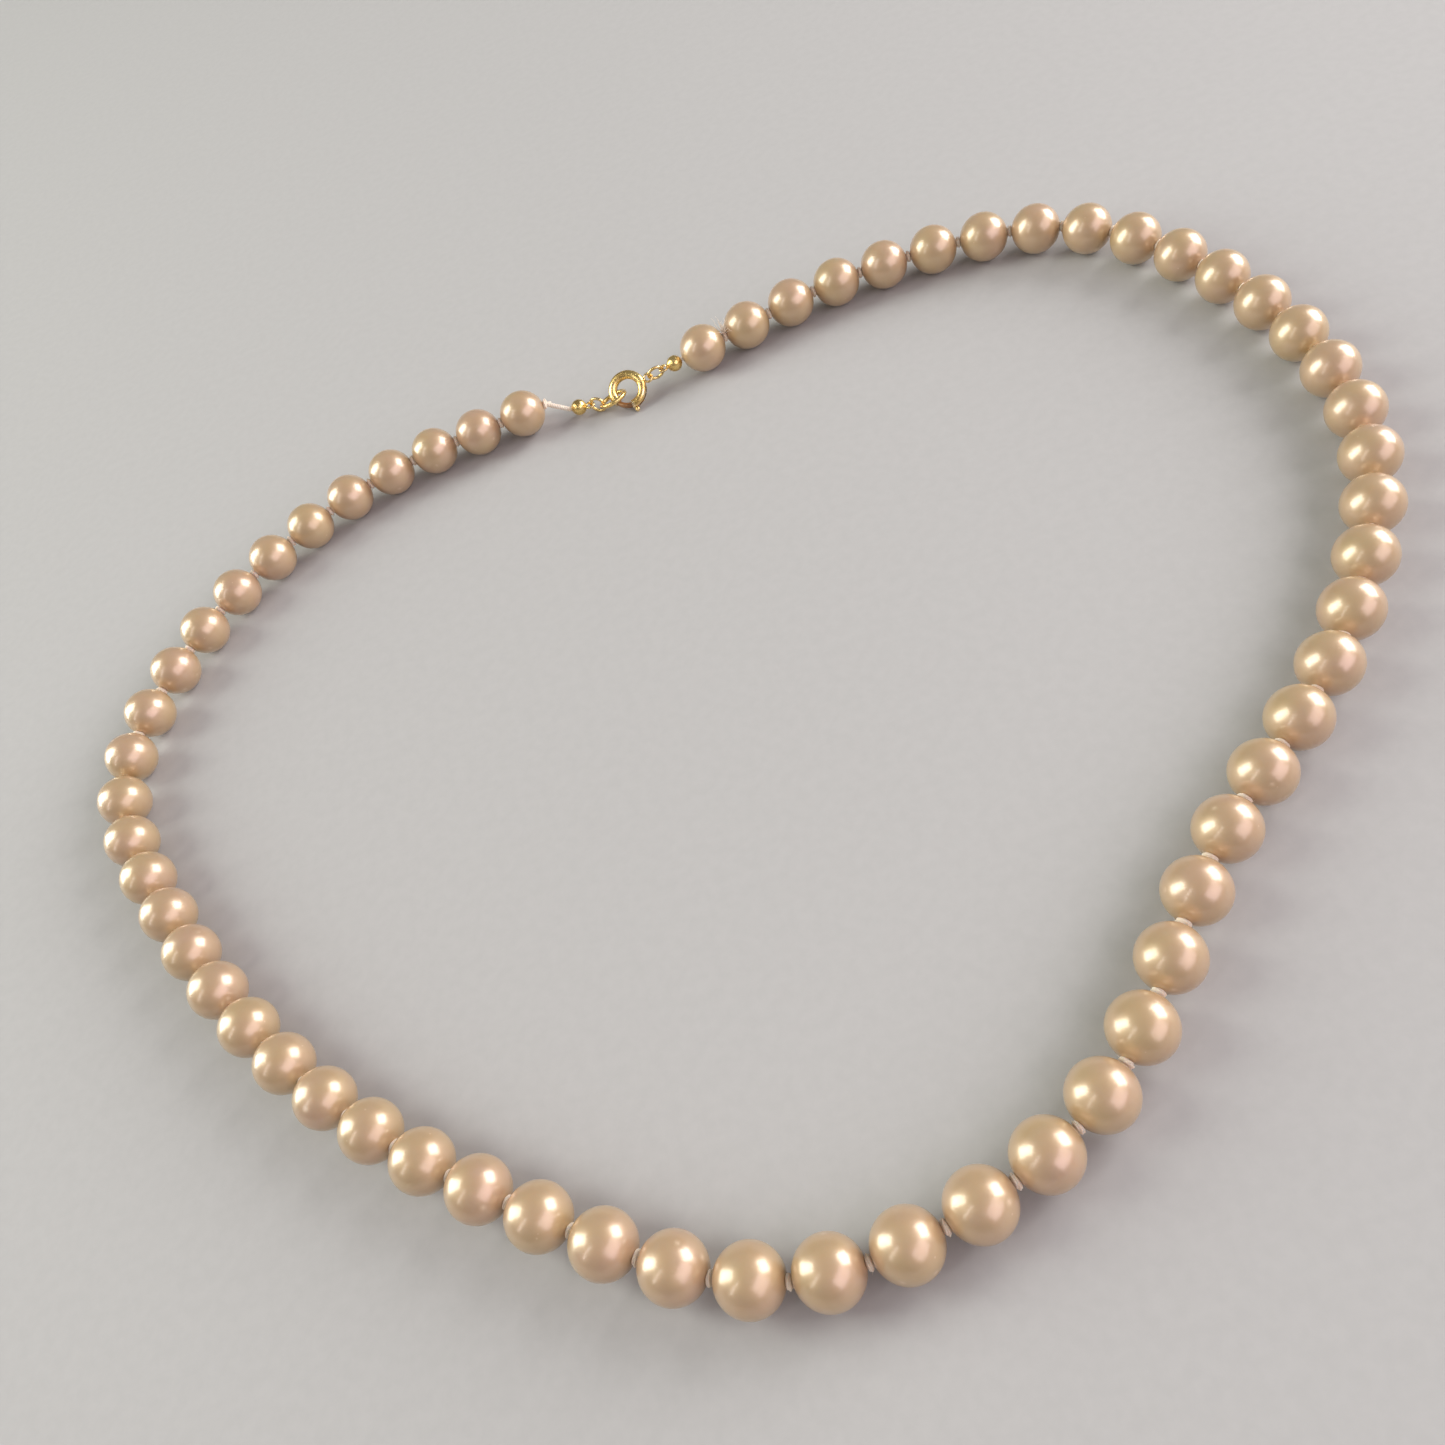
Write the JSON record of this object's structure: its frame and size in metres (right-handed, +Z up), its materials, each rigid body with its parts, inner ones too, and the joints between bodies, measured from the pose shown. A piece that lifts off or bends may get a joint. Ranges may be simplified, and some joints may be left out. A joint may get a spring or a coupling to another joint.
{
  "type": "pearl necklace",
  "caption": "Single strand of round pearls knotted on silk and closed by a small gold coloured bolt ring clasp, worn round the neck.",
  "frame": {"origin": "on the table under the centre of the strand's box", "axes": "+Z up, +Y towards the clasp, -Y towards the front of the strand, +X to the right as the wearer's front is seen"},
  "size_m": [0.1666, 0.1334, 0.0067],
  "materials": {
    "pearl": "nacre lustre, satin gloss",
    "silk": "twisted silk",
    "gold_plate": "gold plated, worn",
    "worn_plate": "plating worn to copper colour",
    "spring_steel": "spring wire"
  },
  "bodies": {
    "strand_01": {"pearls_01_02": "pearl", "pearls_03_04": "pearl", "silk_01": "silk"},
    "strand_02": {"pearls_05_06": "pearl", "pearls_07_08": "pearl", "silk_02": "silk"},
    "strand_03": {"pearls_09_10": "pearl", "pearls_11_12": "pearl", "silk_03": "silk"},
    "strand_04": {"pearls_13_14": "pearl", "pearls_15_16": "pearl", "silk_04": "silk"},
    "strand_05": {"pearls_17_18": "pearl", "pearls_19_20": "pearl", "silk_05": "silk"},
    "strand_06": {"pearls_21_22": "pearl", "pearls_23_24": "pearl", "silk_06": "silk"},
    "strand_07": {"pearls_25_26": "pearl", "pearls_27_28": "pearl", "silk_07": "silk"},
    "strand_08": {"pearls_29_30": "pearl", "pearls_31_32": "pearl", "silk_08": "silk"},
    "strand_09": {"pearls_33_34": "pearl", "pearls_35_36": "pearl", "silk_09": "silk"},
    "strand_10": {"pearls_37_38": "pearl", "pearls_39_40": "pearl", "silk_10": "silk"},
    "strand_11": {"pearls_41_42": "pearl", "pearls_43_44": "pearl", "silk_11": "silk"},
    "strand_12": {"pearls_45_46": "pearl", "pearls_47_48": "pearl", "silk_12": "silk"},
    "strand_13": {"pearls_49_50": "pearl", "pearls_51_52": "pearl", "silk_13": "silk"},
    "strand_14": {"pearls_53_54": "pearl", "pearls_55_56": "pearl", "silk_14": "silk"},
    "strand_15": {"pearls_57_58": "pearl", "pearls_59_60": "pearl", "silk_15": "silk"},
    "left_tail": {"silk_tail_left": "silk", "knot_cup_left": "gold_plate"},
    "left_jump_ring": {"jump_ring_left": "gold_plate"},
    "end_ring": {"end_ring": "gold_plate"},
    "right_tail": {"silk_tail_right": "silk", "knot_cup_right": "gold_plate"},
    "right_jump_ring": {"jump_ring_right": "gold_plate"},
    "bolt_ring": {"bolt_ring_case": "gold_plate", "bolt_ring_loop": "gold_plate", "bolt_spring": "spring_steel"},
    "bolt": {"bolt_tongue": "worn_plate", "thumb_knob": "gold_plate"}
  },
  "joints": [
    {"name": "strand_flex", "type": "hinge", "parent": "strand_08", "child": "strand_09", "pos_m": [0.01602, -0.0592, 0.00337], "axis": [0, 0, 1], "range_deg": [-16, 20]},
    {"name": "bend_36", "type": "hinge", "parent": "strand_09", "child": "strand_10", "pos_m": [0.03792, -0.0406, 0.00337], "axis": [0, 0, 1], "range_deg": [-8.32, 10.4]},
    {"name": "bend_40", "type": "hinge", "parent": "strand_10", "child": "strand_11", "pos_m": [0.06117, -0.02352, 0.00337], "axis": [0, 0, 1], "range_deg": [-11.93, 9.55]},
    {"name": "bend_44", "type": "hinge", "parent": "strand_11", "child": "strand_12", "pos_m": [0.07775, -0.00013, 0.00337], "axis": [0, 0, 1], "range_deg": [-22.26, 17.81]},
    {"name": "bend_48", "type": "hinge", "parent": "strand_12", "child": "strand_13", "pos_m": [0.07879, 0.02843, 0.00337], "axis": [0, 0, 1], "range_deg": [-16.89, 13.52]},
    {"name": "bend_52", "type": "hinge", "parent": "strand_13", "child": "strand_14", "pos_m": [0.06606, 0.05379, 0.00337], "axis": [0, 0, 1], "range_deg": [-2.43, 1.95]},
    {"name": "bend_56", "type": "hinge", "parent": "strand_14", "child": "strand_15", "pos_m": [0.03872, 0.06217, 0.00337], "axis": [0, 0, 1], "range_deg": [-14.13, 17.66]},
    {"name": "bend_28", "type": "hinge", "parent": "strand_08", "child": "strand_07", "pos_m": [-0.01223, -0.06282, 0.00337], "axis": [0, 0, 1], "range_deg": [-24.29, 19.44]},
    {"name": "bend_24", "type": "hinge", "parent": "strand_07", "child": "strand_06", "pos_m": [-0.03641, -0.04744, 0.00337], "axis": [0, 0, 1], "range_deg": [-5.51, 6.88]},
    {"name": "bend_20", "type": "hinge", "parent": "strand_06", "child": "strand_05", "pos_m": [-0.05689, -0.02718, 0.00337], "axis": [0, 0, 1], "range_deg": [-10.18, 12.71]},
    {"name": "bend_16", "type": "hinge", "parent": "strand_05", "child": "strand_04", "pos_m": [-0.07184, -0.00254, 0.00337], "axis": [0, 0, 1], "range_deg": [-13.76, 17.19]},
    {"name": "bend_12", "type": "hinge", "parent": "strand_04", "child": "strand_03", "pos_m": [-0.0802, 0.02479, 0.00337], "axis": [0, 0, 1], "range_deg": [-10.28, 12.85]},
    {"name": "bend_08", "type": "hinge", "parent": "strand_03", "child": "strand_02", "pos_m": [-0.06533, 0.049, 0.00337], "axis": [0, 0, 1], "range_deg": [-3.22, 4.02]},
    {"name": "bend_04", "type": "hinge", "parent": "strand_02", "child": "strand_01", "pos_m": [-0.03995, 0.06221, 0.00337], "axis": [0, 0, 1], "range_deg": [-16.98, 13.59]},
    {"name": "left_tail_bend", "type": "hinge", "parent": "strand_01", "child": "left_tail", "pos_m": [-0.01116, 0.06316, 0.00337], "axis": [0, 0, 1], "range_deg": [-17.2, 13.76]},
    {"name": "left_link_turn", "type": "hinge", "parent": "left_tail", "child": "left_jump_ring", "pos_m": [-0.00484, 0.06114, 0.0015], "axis": [0, 0, 1], "range_deg": [-11.58, 14.47]},
    {"name": "right_tail_bend", "type": "hinge", "parent": "strand_15", "child": "right_tail", "pos_m": [0.00997, 0.06017, 0.00337], "axis": [0, 0, 1], "range_deg": [-12.03, 15.04]},
    {"name": "bolt_ring_swing", "type": "hinge", "parent": "right_jump_ring", "child": "bolt_ring", "pos_m": [0.00104, 0.06001, 0.0022], "axis": [0.987, 0.0172, 0.16], "range_deg": [-12, 16]},
    {"name": "right_link_swing", "type": "hinge", "parent": "right_tail", "child": "right_jump_ring", "pos_m": [0.00104, 0.06001, 0.0022], "axis": [0.987, 0.0172, 0.16], "range_deg": [-12.02, 16.02]},
    {"name": "end_ring_swing", "type": "hinge", "parent": "left_jump_ring", "child": "end_ring", "pos_m": [0.00104, 0.06001, 0.0022], "axis": [0.987, 0.0172, 0.16], "range_deg": [-8.42, 11.22]},
    {"name": "thumb_knob_slide", "type": "hinge", "parent": "bolt_ring", "child": "bolt", "pos_m": [0.00104, 0.06001, 0.0022], "axis": [-0.121, -0.5758, 0.8086], "range_deg": [0, 62], "stiffness_Nm_per_rad": 0.0004, "springref_deg": -20.05, "deforming": ["bolt_spring"]}
  ],
  "couplings": [
    {"joint": "bend_36", "follows": "strand_flex", "ratio": 0.5189},
    {"joint": "bend_40", "follows": "strand_flex", "ratio": -0.5957},
    {"joint": "bend_44", "follows": "strand_flex", "ratio": -1.112},
    {"joint": "bend_48", "follows": "strand_flex", "ratio": -0.8436},
    {"joint": "bend_52", "follows": "strand_flex", "ratio": -0.1205},
    {"joint": "bend_56", "follows": "strand_flex", "ratio": 0.8819},
    {"joint": "bend_28", "follows": "strand_flex", "ratio": -1.2137},
    {"joint": "bend_24", "follows": "strand_flex", "ratio": 0.3431},
    {"joint": "bend_20", "follows": "strand_flex", "ratio": 0.6347},
    {"joint": "bend_16", "follows": "strand_flex", "ratio": 0.8585},
    {"joint": "bend_12", "follows": "strand_flex", "ratio": 0.6415},
    {"joint": "bend_08", "follows": "strand_flex", "ratio": 0.2},
    {"joint": "bend_04", "follows": "strand_flex", "ratio": -0.8479},
    {"joint": "left_tail_bend", "follows": "strand_flex", "ratio": -0.859},
    {"joint": "left_link_turn", "follows": "strand_flex", "ratio": 0.7227},
    {"joint": "right_tail_bend", "follows": "strand_flex", "ratio": 0.7509},
    {"joint": "right_link_swing", "follows": "bolt_ring_swing", "ratio": 1},
    {"joint": "end_ring_swing", "follows": "bolt_ring_swing", "ratio": 0.7}
  ]
}
